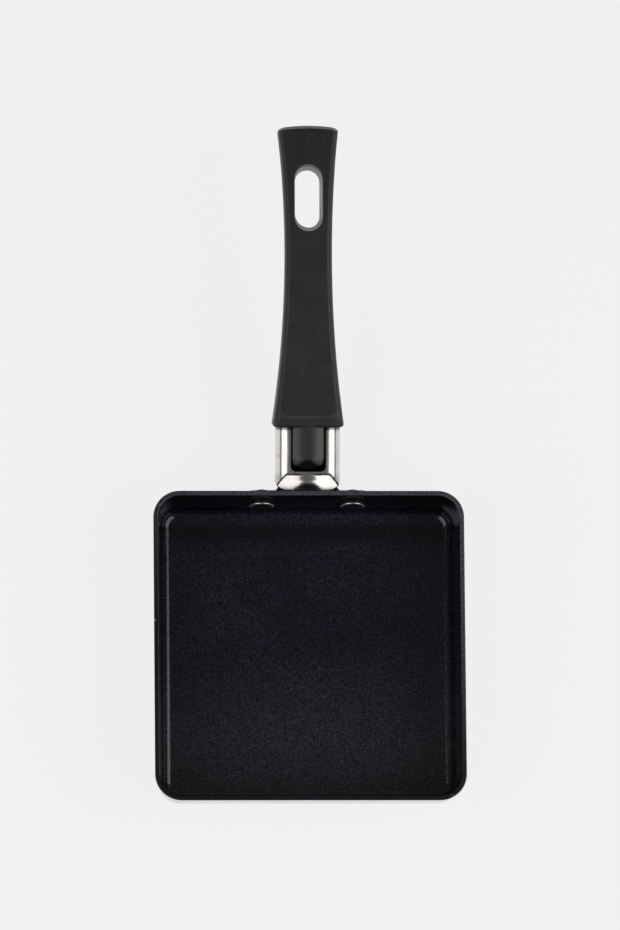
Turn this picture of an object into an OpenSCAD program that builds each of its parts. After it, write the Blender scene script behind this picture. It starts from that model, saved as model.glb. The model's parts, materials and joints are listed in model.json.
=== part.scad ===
// Square tamagoyaki pan with a riveted bracket, a steel flame guard and a moulded handle.
// The origin is the centre of the pan's underside, +Z is up and the handle points along +Y.

/* [Pan body] */
// Outside width at the rim, across the handle
pan_w = 140; // [110:1:200]
// Outside length at the rim, along the handle
pan_l = 141; // [110:1:240]
// Height from the underside to the rim
pan_h = 30; // [26:1:42]
// Width of the rim, which is the wall's horizontal thickness
wall_t = 2.1; // [1.5:0.1:3]
// Thickness of the floor
floor_t = 2.4; // [1.8:0.1:4]
// Outward lean of the walls in degrees
wall_draft = 6; // [3:0.5:9]
// Outside corner radius at the rim, seen from above
rim_corner_r = 12; // [10:0.5:25]
// Inside radius between floor and wall
cove_r = 5; // [3:0.5:7]
// Outside radius between underside and wall
heel_r = 5; // [3:0.5:8]
// Rounding on both edges of the rim
rim_edge_r = 0.5; // [0.2:0.1:0.7]
// Radius of the outermost turned groove on the underside
groove_outer_r = 54; // [40:1:54]
// Step from one groove to the next
groove_pitch = 7; // [5:0.5:12]
// Depth of the grooves
groove_depth = 0.35; // [0.2:0.05:0.6]

/* [Rivets] */
// Distance between the two rivets
rivet_spacing = 41; // [36:1:60]
// Height of the rivets' centres below the rim
rivet_below_rim = 13.4; // [11:0.1:15]
// Diameter of the head inside the pan
rivet_head_d = 11; // [8:0.5:13]
// Height of the head inside the pan
rivet_head_h = 2; // [1.4:0.1:3]
// Diameter of the shank
rivet_shank_d = 5; // [4:0.1:6]
// Diameter of the closed end on the bracket
rivet_tail_d = 7.2; // [6.6:0.1:7.4]
// Height of the closed end on the bracket
rivet_tail_h = 1.4; // [1:0.1:2]

/* [Bracket] */
// Thickness of the wings on the rear wall
wing_t = 2.2; // [1.6:0.1:3]
// Height of the wings
wing_h = 13; // [11:0.5:15]
// Distance from a rivet to the end of its wing
wing_reach = 9; // [7:0.5:14]
// Width of the root between wings and shoulder
root_w = 25.6; // [24:0.1:26]
// Radius that flares the root into the wings
root_flare_r = 4.6; // [3:0.1:4.8]
// Width of the tang inside the handle
tang_w = 20; // [14:0.5:22]
// Thickness of the root and the tang
tang_h = 8; // [7:0.1:8]
// Length of the tang past the shoulder
tang_l = 12.5; // [8:0.5:16]
// Diameter of the tapped hole's crest in the tang
tapped_d = 5; // [4:0.1:6]

/* [Flame guard] */
// Distance from the bracket's wings to the guard's front lip
guard_gap = 2.4; // [2.2:0.1:5]
// Length of the guard
guard_l = 28.3; // [24:0.1:40]
// Outside width of the sleeve
guard_w = 29; // [29:0.1:31]
// Outside height of the sleeve
guard_h = 19; // [18.5:0.1:20]
// Sheet thickness
guard_t = 0.8; // [0.5:0.1:1]
// Corner radius of the sleeve's section
guard_corner_r = 6.5; // [4:0.1:7.5]
// Radius of the guard's front corners, seen from above
guard_front_r = 3.6; // [3:0.1:6]
// Length of the pressed front, whose top falls like a roof to both sides
press_l = 7.8; // [7:0.1:9]
// Slope of the pressed front in degrees
press_slope = 27; // [24:0.5:28]
// Height of the roof's ridge line above the sleeve's top face
press_lift = 1.7; // [1.4:0.1:2.4]
// Width of the pressed front at its back, seen from above
press_back_w = 23.4; // [20:0.1:26]
// Length over which the pressed front widens to the sleeve's side
press_taper_l = 4.7; // [3:0.1:6]
// Width of the polished land between pressed front and notch
notch_land = 0.6; // [0.5:0.1:1.2]

/* [Handle] */
// Rise of the neck above the horizontal in degrees
handle_rise = 15; // [4:0.5:18]
// How far the grip bends back towards the horizontal, in degrees
handle_bend = 13.5; // [2:0.5:16]
// Distance from the guard to the start of the bend
bend_from = 30; // [20:1:60]
// Length of the grip
handle_l = 134.6; // [125:0.1:190]
// Width of the grip where it meets the guard
base_w = 32.4; // [32.4:0.1:36]
// Width of the grip at its waist
waist_w = 21.2; // [19:0.1:26]
// Width of the grip at its end
end_w = 27.4; // [24:0.1:34]
// Distance from the guard to the waist
waist_at = 77.4; // [60:0.1:90]
// Height of the top face above the centre line where it meets the guard
top_base = 11; // [10.4:0.1:13]
// Height of the top face at the waist
top_waist = 7.6; // [7:0.1:10]
// Height of the top face at the end
top_end = 7.4; // [6:0.1:10]
// Depth of the underside below the centre line where it meets the guard
under_base = 10.8; // [10.4:0.1:13]
// Depth of the underside at the waist
under_waist = 7.6; // [7:0.1:10]
// Depth of the underside at the end
under_end = 8.2; // [6:0.1:10]
// Width of the bevel beside the top panel
bevel_w = 2.3; // [1.2:0.1:3]
// Height of the bevel
bevel_h = 3.4; // [2:0.1:5]
// Rounding of the lower edges
lower_r = 6.6; // [4:0.1:7]
// Length of the lip that rolls down to the guard
lip_l = 5; // [3:0.1:9]
// Height that the lip falls over its length
lip_drop = 1; // [0.4:0.1:1.2]
// Corner radius of the crease between lip and top panel, seen from above
panel_corner_r = 4.2; // [2:0.1:5]
// Height that the end's chamfer takes off the top face
end_chamfer_h = 1.2; // [0.4:0.1:2]
// How far the end bulges, seen from above
end_bulge = 1.2; // [0.5:0.1:3]
// Length of the hang hole
hang_l = 28; // [20:0.5:34]
// Width of the hang hole
hang_w = 12.4; // [11.6:0.1:14]
// Distance from the guard to the middle of the hang hole
hang_at = 103; // [97:0.5:108]
// Moulding draft of the hang hole's walls in degrees
hang_draft = 2.5; // [0.5:0.5:3]
// Width of the tongue in the guard's notch
tongue_w = 15.3; // [12:0.1:17]
// Gap between the tongue and the notch
tongue_gap = 0.3; // [0.2:0.05:0.6]
// Radius of the tongue's crowned top
tongue_crown_r = 15; // [12:1:60]
// Corner radius of the tongue's nose, seen from above
nose_corner_r = 2.2; // [1:0.1:4]
// Length over which the tongue's nose turns down
nose_l = 7; // [4:0.5:10]
// Height that the tongue's nose turns down
nose_drop = 2.4; // [1:0.1:3]
// Height of the tongue above the guard
tongue_proud = 0.3; // [0:0.1:0.8]

/* [Fixing screw] */
// Diameter of the screw
screw_d = 4.9; // [4:0.1:5]
// Diameter of the screw's head
screw_head_d = 9; // [7.5:0.1:9.5]
// Height of the screw's head
screw_head_h = 3.2; // [2.4:0.1:3.6]
// Length of screw inside the bracket's tang
thread_engage = 10; // [6:0.5:11]
// Distance of the tang's middle below the neck's centre line
screw_drop = 0.8; // [0.4:0.1:1]
// How far the screw dips below the neck's direction, in degrees
screw_dip = 1.6; // [0:0.1:2]
// Depth of the screw's head behind the hang hole's end
screw_recess = 0.8; // [0.2:0.1:2]
// Outside diameter of the flat washer
washer_d = 9.8; // [8.8:0.1:10]
// Thickness of the flat washer
washer_t = 1; // [0.6:0.1:1.2]
// Thickness of the spring washer
spring_t = 1.3; // [1:0.1:1.5]

/* [Hidden] */
$fn = 64;

// Clearance of a shank, of the tang and of the screw in their holes
hole_fit = 0.05;
socket_fit = 0.2;
bore_fit = 0.3;
// Overrun of a cut past the face it starts from
cut = 1;
// Radius of the tool that turns the grooves
groove_tool_r = 1;
// Stretch over which spigot and tongue run on inside the grip
root_overlap = 3;
// Drop of the tongue's foot below the guard's top face
tongue_foot = 3.5;
// Facets of the large circle that turns the tongue's nose down
turn_facets = 128;
// Split of the spring washer
split_w = 0.8;

draft_tan = tan(wall_draft);
draft_cos = cos(wall_draft);
draft_sin = sin(wall_draft);
wall_normal_t = wall_t * draft_cos;
corner_x = pan_w / 2 - rim_corner_r;
corner_y = pan_l / 2 - rim_corner_r;

// Centre line of the neck, from the rear wall's outside at the rivets
axis_z = pan_h - rivet_below_rim;
axis_y = pan_l / 2 - rivet_below_rim * draft_tan;

// Stations along the neck's centre line
guard_start = wing_t + guard_gap;
handle_base = guard_start + guard_l;
press_end = guard_start + press_l;
notch_end = press_end + notch_land;
spigot_front = notch_end + tongue_gap;
tongue_root = guard_h / 2 - tongue_foot;
shoulder_at = spigot_front - socket_fit;
tang_end = shoulder_at + tang_l;
socket_end = tang_end + 2 * socket_fit;

// The grip runs on straight from the neck, then bends on a circle
bend_r = (handle_l - bend_from) / (handle_bend * PI / 180);
function turn_at(s) = s < bend_from ? 0 : (s - bend_from) / bend_r * 180 / PI;
function spine_y(s) = s < bend_from ? s : bend_from + bend_r * sin(turn_at(s));
function spine_z(s) = s < bend_from ? 0 : bend_r * (cos(turn_at(s)) - 1);

hang_near = handle_base + spine_y(hang_at - hang_l / 2);
washer_seat = hang_near - screw_recess - screw_head_h - spring_t - washer_t;
screw_head_at = washer_seat + washer_t + spring_t;
screw_tip = tang_end - thread_engage;

// The neck's frame: +Y along its centre line
module on_axis() {
    translate([0, axis_y, axis_z]) rotate([handle_rise, 0, 0]) children();
}

module on_tang() {
    on_axis() translate([0, 0, -screw_drop]) children();
}

// The screw dips from the tang's middle towards the hang hole
module dip() {
    translate([0, shoulder_at, -screw_drop]) rotate([-screw_dip, 0, 0])
        translate([0, -shoulder_at, 0]) children();
}

module on_screw_axis() {
    on_axis() dip() children();
}

// The grip's own frame at a distance s from the guard
module on_spine(s) {
    translate([0, handle_base + spine_y(s), spine_z(s)]) rotate([-turn_at(s), 0, 0]) children();
}

// A cylinder along the centre line, from one station to another
module bore_along(from, to, r) {
    translate([0, from, 0]) rotate([-90, 0, 0]) cylinder(r = r, h = to - from);
}

// The rear wall's outside, with local +Z pointing into the pan
module on_wall() {
    translate([0, axis_y, axis_z]) rotate([90 - wall_draft, 0, 0]) children();
}

module on_rivet(side) {
    translate([side * rivet_spacing / 2, 0, 0]) on_wall() children();
}

// Distance of a rounding's centre from the corner's axis. The rounding has radius r, its centre
// is at height z, and it touches a lean wall line that meets the rim at rim_r.
function lean_centre(rim_r, r, z) = rim_r - (r + draft_sin * (pan_h - z)) / draft_cos;

// Everything inside a lean wall line, with a round foot of radius r on the level floor_z
module lean_fill(rim_r, r, floor_z, top_z) {
    centre = [lean_centre(rim_r, r, floor_z + r), floor_z + r];
    polygon([
        [0, floor_z],
        [centre.x, floor_z],
        centre,
        centre + r * [draft_cos, -draft_sin],
        [rim_r + (top_z - pan_h) * draft_tan, top_z],
        [0, top_z]
    ]);
    translate(centre) circle(r);
}

// What a rounding of the rim's edge takes away; side is 1 outside and -1 inside
module rim_edge_cut(rim_r, side) {
    r = rim_edge_r;
    centre = [rim_r - side * r * (1 + side * draft_sin) / draft_cos, pan_h - r];
    corner = [rim_r + side * cut / 5, pan_h + cut / 5];
    difference() {
        polygon([[centre.x, pan_h + cut / 5], corner, centre + side * r * [draft_cos, -draft_sin], centre]);
        translate(centre) circle(r);
    }
}

module pan_section() {
    intersection() {
        difference() {
            lean_fill(rim_corner_r, heel_r, 0, pan_h);
            lean_fill(rim_corner_r - wall_t, cove_r, floor_t, pan_h + cut);
            rim_edge_cut(rim_corner_r, 1);
            rim_edge_cut(rim_corner_r - wall_t, -1);
        }
        translate([0, -cut]) square([rim_corner_r + cut, pan_h + 2 * cut]);
    }
}

// One straight wall of the given length with its strip of floor, outwards along +X
module pan_wall(length) {
    translate([0, length / 2, 0]) rotate([90, 0, 0]) linear_extrude(length) pan_section();
}

module pan_shell() {
    translate([-corner_x, -corner_y, 0]) cube([2 * corner_x, 2 * corner_y, floor_t]);
    for (quarter = [0:3]) {
        x = (quarter == 0 || quarter == 3) ? corner_x : -corner_x;
        y = quarter < 2 ? corner_y : -corner_y;
        translate([x, y, 0]) rotate([0, 0, quarter * 90]) rotate_extrude(angle = 90) pan_section();
    }
    for (side = [0, 180]) {
        rotate([0, 0, side]) translate([corner_x, 0, 0]) pan_wall(2 * corner_y);
        rotate([0, 0, side + 90]) translate([corner_y, 0, 0]) pan_wall(2 * corner_x);
    }
}

// Shallow turned grooves that keep the underside flat on a hob
module base_grooves() {
    for (r = [groove_outer_r:-groove_pitch:groove_pitch])
        rotate_extrude() translate([r, groove_depth - groove_tool_r]) circle(groove_tool_r);
}

module pan_body() {
    color([0.09, 0.095, 0.11]) difference() {
        pan_shell();
        base_grooves();
        for (side = [-1, 1])
            on_rivet(side) translate([0, 0, -cut])
                cylinder(d = rivet_shank_d + 2 * hole_fit, h = wall_normal_t + 2 * cut);
    }
}

// Section of a rivet, with z = 0 on the wall's outside
module rivet_section() {
    bevel = rivet_head_h / 2;
    head_r = rivet_head_d / 2;
    tail_r = rivet_tail_d / 2;
    tail_bevel = rivet_tail_h / 2;
    polygon([
        [0, -wing_t - rivet_tail_h],
        [tail_r - 2 * tail_bevel, -wing_t - rivet_tail_h],
        [tail_r, -wing_t - rivet_tail_h + tail_bevel],
        [tail_r, -wing_t],
        [rivet_shank_d / 2, -wing_t],
        [rivet_shank_d / 2, wall_normal_t],
        [head_r, wall_normal_t],
        [head_r, wall_normal_t + rivet_head_h - bevel],
        [head_r - bevel, wall_normal_t + rivet_head_h],
        [0, wall_normal_t + rivet_head_h]
    ]);
}

module rivet(side) {
    color([0.16, 0.16, 0.17]) on_rivet(side) rotate_extrude() rivet_section();
}

module rivet_left() {
    rivet(-1);
}

module rivet_right() {
    rivet(1);
}

// Seen square to the wall, the wings are one rounded strip
module wing_strip() {
    width = rivet_spacing + 2 * wing_reach;
    end_r = wing_h / 2;
    square([width - 2 * end_r, wing_h], center = true);
    for (side = [-1, 1]) translate([side * (width / 2 - end_r), 0]) circle(end_r);
}

// Seen from above, the root's foot flares into the wings
module flare_plan() {
    foot_w = root_w + 2 * root_flare_r;
    flare_y = wing_t + root_flare_r;
    difference() {
        translate([-foot_w / 2, -wing_t]) square([foot_w, wing_t + flare_y]);
        for (side = [-1, 1]) translate([side * foot_w / 2, flare_y]) circle(root_flare_r);
    }
}

// Seen square to the neck, the root steps down to the tang
module root_plan() {
    translate([-root_w / 2, -wing_t]) square([root_w, wing_t + shoulder_at]);
    translate([-tang_w / 2, 0]) square([tang_w, tang_end]);
}

module handle_bracket() {
    color([0.13, 0.13, 0.14]) difference() {
        union() {
            on_wall() translate([0, 0, -wing_t]) linear_extrude(wing_t) wing_strip();
            on_tang() translate([0, 0, -tang_h / 2]) linear_extrude(tang_h) root_plan();
            intersection() {
                translate([0, axis_y, 0]) linear_extrude(pan_h) flare_plan();
                on_tang() translate([-pan_w / 2, -tang_h, -tang_h / 2])
                    cube([pan_w, tang_h + shoulder_at, tang_h]);
            }
        }
        on_wall() translate([-pan_w / 2, -pan_h, 0]) cube([pan_w, 2 * pan_h, 4 * wing_t]);
        for (side = [-1, 1])
            on_rivet(side) translate([0, 0, -wing_t - cut])
                cylinder(d = rivet_shank_d + 2 * hole_fit, h = wing_t + 2 * cut);
        on_screw_axis() bore_along(screw_tip - cut, tang_end + cut, tapped_d / 2);
    }
}

// Section of the sleeve, smaller by inset all round
module sleeve_section(inset) {
    half_w = guard_w / 2 - inset;
    half_h = guard_h / 2 - inset;
    r = guard_corner_r - inset;
    square([2 * half_w, 2 * (half_h - r)], center = true);
    square([2 * (half_w - r), 2 * half_h], center = true);
    for (x = [-1, 1], y = [-1, 1]) translate([x * (half_w - r), y * (half_h - r)]) circle(r);
}

// The filled sleeve between two stations
module sleeve_fill(inset, from, to) {
    translate([0, to, 0]) rotate([90, 0, 0]) linear_extrude(to - from) sleeve_section(inset);
}

// Seen from above, the pressed front widens from its back to the sleeve's sides
module press_plan(grow) {
    back = press_back_w / 2 + grow;
    side = guard_w / 2 + grow;
    polygon([
        [-side, guard_start - 2 * cut],
        [-side, press_end - press_taper_l],
        [-back, press_end + grow],
        [back, press_end + grow],
        [side, press_end - press_taper_l],
        [side, guard_start - 2 * cut]
    ]);
}

// What the press pushes away over the guard's front, bigger by grow all round
module press_roof(grow) {
    ridge = guard_h / 2 + press_lift - grow / cos(press_slope);
    eaves = ridge - guard_w * tan(press_slope);
    intersection() {
        translate([0, press_end + grow, 0]) rotate([90, 0, 0]) linear_extrude(press_l + grow + cut)
            polygon([
                [-guard_w, eaves],
                [0, ridge],
                [guard_w, eaves],
                [guard_w, guard_h],
                [-guard_w, guard_h]
            ]);
        translate([0, 0, -guard_h]) linear_extrude(3 * guard_h) press_plan(grow);
    }
}

// Seen from above, the guard's front corners are round
module guard_plan() {
    half_w = guard_w / 2;
    corner = half_w - guard_front_r;
    translate([-corner, guard_start]) square([2 * corner, guard_l]);
    translate([-half_w, guard_start + guard_front_r]) square([guard_w, guard_l - guard_front_r]);
    for (side = [-1, 1]) translate([side * corner, guard_start + guard_front_r]) circle(guard_front_r);
}

// A rounded plan, from a front station backwards, for the notch and the tongue
module tongue_plan(width, front, back, r) {
    translate([-width / 2, front + r]) square([width, back - front - r]);
    translate([-width / 2 + r, front]) square([width - 2 * r, 2 * r]);
    for (side = [-1, 1]) translate([side * (width / 2 - r), front + r]) circle(r);
}

module flame_guard() {
    notch_w = tongue_w + 2 * tongue_gap;
    color([0.8, 0.79, 0.77]) on_axis() difference() {
        intersection() {
            difference() {
                sleeve_fill(0, guard_start, handle_base);
                press_roof(0);
            }
            translate([0, 0, -guard_h]) linear_extrude(2 * guard_h) guard_plan();
        }
        difference() {
            sleeve_fill(guard_t, guard_start - cut, handle_base + cut);
            press_roof(guard_t);
        }
        linear_extrude(guard_h)
            tongue_plan(notch_w, notch_end, handle_base + cut, nose_corner_r + tongue_gap);
    }
}

// Roundings of the grip's two ends, and how much of them the top face follows
base_edge_r = 1.6;
end_edge_r = 1.4;
top_follow = 0.6;
// Steps of the loft: rings on a rounded end, on the lip and between, then points of a ring on the
// crease's corner, on a bevel and on a lower edge
edge_steps = 4;
lip_steps = 8;
span_count = 20;
corner_steps = 4;
bevel_steps = 5;
lower_steps = 6;
// Angle at which the bevel breaks from the top panel
bevel_break = 24;

// A size along the grip that falls to its waist and grows again to its end
function flared(s, at_base, at_waist, at_end) =
    s < waist_at
        ? at_waist + (at_base - at_waist) * pow(1 - s / waist_at, 2)
        : at_waist + (at_end - at_waist) * pow((s - waist_at) / (handle_l - waist_at), 2);

// How far a rounding of radius r draws the surface in at a distance d from the edge
function drawn_in(d, r) = d < r ? r - sqrt(pow(r, 2) - pow(r - d, 2)) : 0;

// Stations of the grip: close together on both rounded ends and on the lip, even between them
lip_end = lip_l + panel_corner_r;
base_stations = [for (i = [0:edge_steps]) base_edge_r * (1 - cos(90 * i / edge_steps))];
lip_stations = [for (i = [1:lip_steps]) base_edge_r + (lip_end - base_edge_r) * i / lip_steps];
end_stations = [for (i = [edge_steps:-1:0]) handle_l - end_edge_r * (1 - cos(90 * i / edge_steps))];
mid_span = handle_l - end_edge_r - lip_end;
mid_stations = [for (i = [1:span_count - 1]) lip_end + mid_span * i / span_count];
stations = concat(base_stations, lip_stations, mid_stations, end_stations);

function edge_inset(s) = drawn_in(s, base_edge_r) + drawn_in(handle_l - s, end_edge_r);
function half_width(s) = flared(s, base_w, waist_w, end_w) / 2 - edge_inset(s);

// Distance of a point on the lip from the crease, which turns a round corner beside the bevels
function before_crease(x, s, panel) =
    let (across = abs(x) - panel + panel_corner_r, along = lip_end - s)
    along <= 0 ? 0
        : across <= 0 ? max(0, lip_l - s)
        : max(0, norm([across, along]) - panel_corner_r);

function chamfer(s) = end_chamfer_h * max(0, s - handle_l + end_edge_r) / end_edge_r;
function top_at(x, s, panel) =
    flared(s, top_base, top_waist, top_end) - top_follow * drawn_in(s, base_edge_r) - chamfer(s)
        - before_crease(x, s, panel) * lip_drop / lip_l;
function under_at(s) = -flared(s, under_base, under_waist, under_end) + edge_inset(s);

// Right half of the grip's section, from the top's middle to the underside's middle
function half_section(s) =
    let (w = half_width(s), under = under_at(s), panel = w - bevel_w, level = panel - panel_corner_r)
    let (top = top_at(panel, s, panel))
    concat(
        [for (x = [0, level / 2]) [x, top_at(x, s, panel)]],
        [for (i = [0:corner_steps - 1])
            let (x = level + panel_corner_r * i / corner_steps) [x, top_at(x, s, panel)]],
        [for (i = [0:bevel_steps])
            let (a = bevel_break + (90 - bevel_break) * i / bevel_steps)
            [
                panel + bevel_w * (sin(a) - sin(bevel_break)) / (1 - sin(bevel_break)),
                top - bevel_h * (cos(bevel_break) - cos(a)) / cos(bevel_break)
            ]],
        [for (i = [0:lower_steps])
            let (a = 90 * i / lower_steps)
            [w - lower_r * (1 - cos(a)), under + lower_r * (1 - sin(a))]],
        [[0, under]]
    );

// The whole closed section, clockwise from the top's middle
function full_section(s) =
    let (half = half_section(s), last = len(half) - 1)
    concat(half, [for (i = [last - 1:-1:1]) [-half[i].x, half[i].y]]);

// The end's bulge grows over the last stretch of the grip
function bulge(s, x) =
    let (start = hang_at + hang_l / 2, reach = handle_l - start)
    s < start ? 0 : end_bulge * pow(2 * x / end_w, 2) * (s - start) / reach;

// A section point, set square to the spine
function on_spine_point(x, s, w) =
    [x, spine_y(s) + w * sin(turn_at(s)), spine_z(s) + w * cos(turn_at(s))];

function ring_points(s) = [for (p = full_section(s)) on_spine_point(p.x, s - bulge(s, p.x), p.y)];

// Triangles across a ring: a fan under the top panel, strips from side to side, a fan at the foot
function cap_faces(count) =
    let (edge_index = corner_steps + 3, foot_index = count / 2 - 2)
    concat(
        [for (j = [1 - edge_index:edge_index - 1])
            [(j + count - 1) % count, (j + count) % count, edge_index]],
        [for (j = [edge_index:foot_index - 1])
            let (left = count - j)
            each [[j, j + 1, left - 1], [j, left - 1, left]]],
        [for (j = [foot_index + 1:foot_index + 3]) [foot_index, j, j + 1]]
    );

module grip_loft() {
    rings = [for (s = stations) ring_points(s)];
    count = len(rings[0]);
    last = len(rings) - 1;
    points = [for (ring = rings, p = ring) p];
    skin = [for (i = [0:last - 1], j = [0:count - 1])
        let (a = i * count + j, b = i * count + (j + 1) % count, c = a + count, d = b + count)
        each [[a, c, b], [b, c, d]]];
    front = cap_faces(count);
    back = [for (f = cap_faces(count)) [f[2], f[1], f[0]] + last * count * [1, 1, 1]];
    polyhedron(points = points, faces = concat(skin, front, back), convexity = 4);
}

// The spigot inside the guard, with its socket for the tang
module spigot() {
    difference() {
        sleeve_fill(guard_t + socket_fit, spigot_front, handle_base + root_overlap);
        translate([0, 0, tongue_root]) linear_extrude(guard_h) tongue_plan(
            tongue_w + 2 * tongue_gap, spigot_front - cut, handle_base, nose_corner_r);
        translate([
            -tang_w / 2 - socket_fit,
            spigot_front - cut,
            -screw_drop - tang_h / 2 - socket_fit
        ]) cube([tang_w + 2 * socket_fit, socket_end - spigot_front + cut, tang_h + 2 * socket_fit]);
    }
}

// The tongue that fills the guard's notch, crowned across and turned down at its nose
module tongue() {
    top = guard_h / 2 + tongue_proud;
    turn_r = (pow(nose_l, 2) + pow(nose_drop, 2)) / (2 * nose_drop);
    back = handle_base + root_overlap;
    intersection() {
        translate([0, 0, tongue_root]) linear_extrude(guard_h)
            tongue_plan(tongue_w, spigot_front, back, nose_corner_r);
        translate([0, 0, top - tongue_crown_r]) bore_along(spigot_front - cut, back, tongue_crown_r);
        rotate([90, 0, 90]) translate([0, 0, -tongue_w]) linear_extrude(2 * tongue_w) {
            translate([spigot_front + nose_l, 0]) square([back - spigot_front - nose_l, guard_h]);
            intersection() {
                translate([spigot_front, 0]) square([nose_l + cut / 10, top]);
                translate([spigot_front + nose_l, top - turn_r]) circle(turn_r, $fn = turn_facets);
            }
        }
    }
}

// The hang hole, square to the spine and wider on top by its moulding draft
module hang_cut() {
    depth = top_base + under_base + 2 * cut;
    top = top_base + cut;
    face = flared(hang_at, top_base, top_waist, top_end);
    top_r = hang_w / 2 + (top - face) * tan(hang_draft);
    foot_r = top_r - depth * tan(hang_draft);
    half = (hang_l - hang_w) / 2;
    on_spine(hang_at) {
        for (y = [-half, half]) translate([0, y, top - depth]) cylinder(r1 = foot_r, r2 = top_r, h = depth);
        translate([0, half, 0]) rotate([90, 0, 0]) linear_extrude(2 * half)
            polygon([[-top_r, top], [top_r, top], [foot_r, top - depth], [-foot_r, top - depth]]);
    }
}

module handle_grip() {
    color([0.17, 0.17, 0.175]) on_axis() difference() {
        union() {
            translate([0, handle_base, 0]) grip_loft();
            spigot();
            tongue();
        }
        hang_cut();
        dip() {
            bore_along(socket_end - cut, hang_near, screw_d / 2 + bore_fit);
            bore_along(washer_seat, handle_base + hang_at, washer_d / 2 + bore_fit);
        }
    }
}

// Pan head screw with a cross recess
module handle_screw() {
    collar_share = 0.6;
    crown_share = 0.8;
    recess_w = screw_head_d * 0.5;
    recess_t = screw_head_d * 0.12;
    color([0.6, 0.6, 0.62]) on_screw_axis() difference() {
        translate([0, screw_tip, 0]) rotate([-90, 0, 0]) rotate_extrude() {
            square([screw_d / 2, screw_head_at - screw_tip + cut]);
            translate([0, screw_head_at - screw_tip]) {
                square([screw_head_d / 2, screw_head_h * collar_share]);
                square([screw_head_d / 2 * crown_share, screw_head_h]);
            }
        }
        for (turn = [0, 90])
            translate([0, screw_head_at + screw_head_h, 0]) rotate([0, turn, 0])
                cube([recess_w, screw_head_h, recess_t], center = true);
    }
}

// A washer on the screw; gap is the width of a split through its ring
module washer(at, thickness, d, gap) {
    on_screw_axis() difference() {
        bore_along(at, at + thickness, d / 2);
        bore_along(at - cut, at + thickness + cut, screw_d / 2 + hole_fit);
        if (gap > 0) translate([0, at - cut, -gap / 2]) cube([d, thickness + 2 * cut, gap]);
    }
}

module spring_washer() {
    color([0.5, 0.5, 0.52]) washer(washer_seat + washer_t, spring_t, screw_head_d, split_w);
}

module flat_washer() {
    color([0.62, 0.62, 0.64]) washer(washer_seat, washer_t, washer_d, 0);
}

pan_body();
rivet_left();
rivet_right();
handle_bracket();
flame_guard();
handle_grip();
handle_screw();
spring_washer();
flat_washer();
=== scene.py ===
# The tamagoyaki pan's finishes, the finer meshes of its handle, guard and rivets, and the studio
import json
import math

import bmesh
import bpy
from mathutils import Matrix, Vector

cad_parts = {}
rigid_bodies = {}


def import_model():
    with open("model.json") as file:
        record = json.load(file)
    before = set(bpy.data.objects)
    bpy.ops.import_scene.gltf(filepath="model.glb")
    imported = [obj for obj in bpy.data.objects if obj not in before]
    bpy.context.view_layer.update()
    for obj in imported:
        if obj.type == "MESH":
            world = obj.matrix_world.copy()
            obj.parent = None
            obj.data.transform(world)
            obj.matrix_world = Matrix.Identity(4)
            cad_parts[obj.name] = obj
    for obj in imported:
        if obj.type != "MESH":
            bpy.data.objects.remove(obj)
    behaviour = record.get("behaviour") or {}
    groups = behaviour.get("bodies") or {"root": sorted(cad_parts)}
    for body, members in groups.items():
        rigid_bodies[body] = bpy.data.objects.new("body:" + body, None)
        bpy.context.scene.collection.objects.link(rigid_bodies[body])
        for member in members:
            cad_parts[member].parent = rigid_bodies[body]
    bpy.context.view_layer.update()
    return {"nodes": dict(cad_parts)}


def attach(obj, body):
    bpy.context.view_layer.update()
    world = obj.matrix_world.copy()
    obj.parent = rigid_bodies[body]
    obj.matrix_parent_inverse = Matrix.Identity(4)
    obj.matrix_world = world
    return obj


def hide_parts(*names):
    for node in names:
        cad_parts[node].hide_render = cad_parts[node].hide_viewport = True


for leftover in list(bpy.data.objects):
    bpy.data.objects.remove(leftover)

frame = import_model()
bpy.context.scene.view_settings.view_transform = "Standard"

MM = 0.001

# The photograph's frame in pixels, and the camera that took it, in metres and degrees
IMAGE_H = 930
PIXELS_PER_METRE = 2220.6
CAMERA_DISTANCE = 6.0
CAMERA_TILT = 10.5
CAMERA_LEFT = 3.0
CAMERA_ROLL = 0.51
SENSOR = 36.0
AIM = Vector((0.00115, 0.08364, 0.022))

# The studio: the floor lies a hair below the underside, so that the two faces never coincide
FLOOR_SIZE = 12.0
FLOOR_DROP = 0.1 * MM
WORLD_STRENGTH = 0.12
PAPER_GREY = 0.85
PAPER_GLOW = 0.925
PAPER_GLOW_SHARE = 0.89
LAMP_ELEVATION = 37
LAMP_DISTANCE = 1.6
LAMP_HEIGHT = 1.15
SOFTBOXES = {
    "softbox_right": {"azimuth": 115.5, "width": 1.8, "radiance": 2.1},
    "softbox_left": {"azimuth": -122, "width": 1.6, "radiance": 1.7},
}

# The pan, whose wall's thickness is measured square to the wall
PAN_H = 30 * MM
WALL_DRAFT = math.radians(6)
WALL_T = 2.089 * MM

# The rivets, and the bracket's wing between them and the rear wall
WING_T = 2.2 * MM
RIVET_X = 20.5 * MM
RIVET_HEAD_R = 5.5 * MM
RIVET_HEAD_H = 2.1 * MM
RIVET_EDGE_R = 0.8 * MM
RIVET_CROWN = 0.25 * MM
RIVET_SHANK_R = 2.5 * MM
RIVET_TAIL_R = 3.6 * MM
RIVET_TAIL_H = 1.4 * MM
RIVET_TAIL_BEVEL = 0.7 * MM
RIVET_TAIL_BREAK = 0.3 * RIVET_TAIL_BEVEL
RIVET_UNDERCUT = 0.05 * MM
RIVET_EDGE_FROM = WALL_T + RIVET_HEAD_H - RIVET_CROWN - RIVET_EDGE_R

# The neck's centre line, which starts on the rear wall's outside
AXIS_Y = 69.0916 * MM
AXIS_Z = 16.6 * MM
RISE = math.radians(15)

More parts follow.
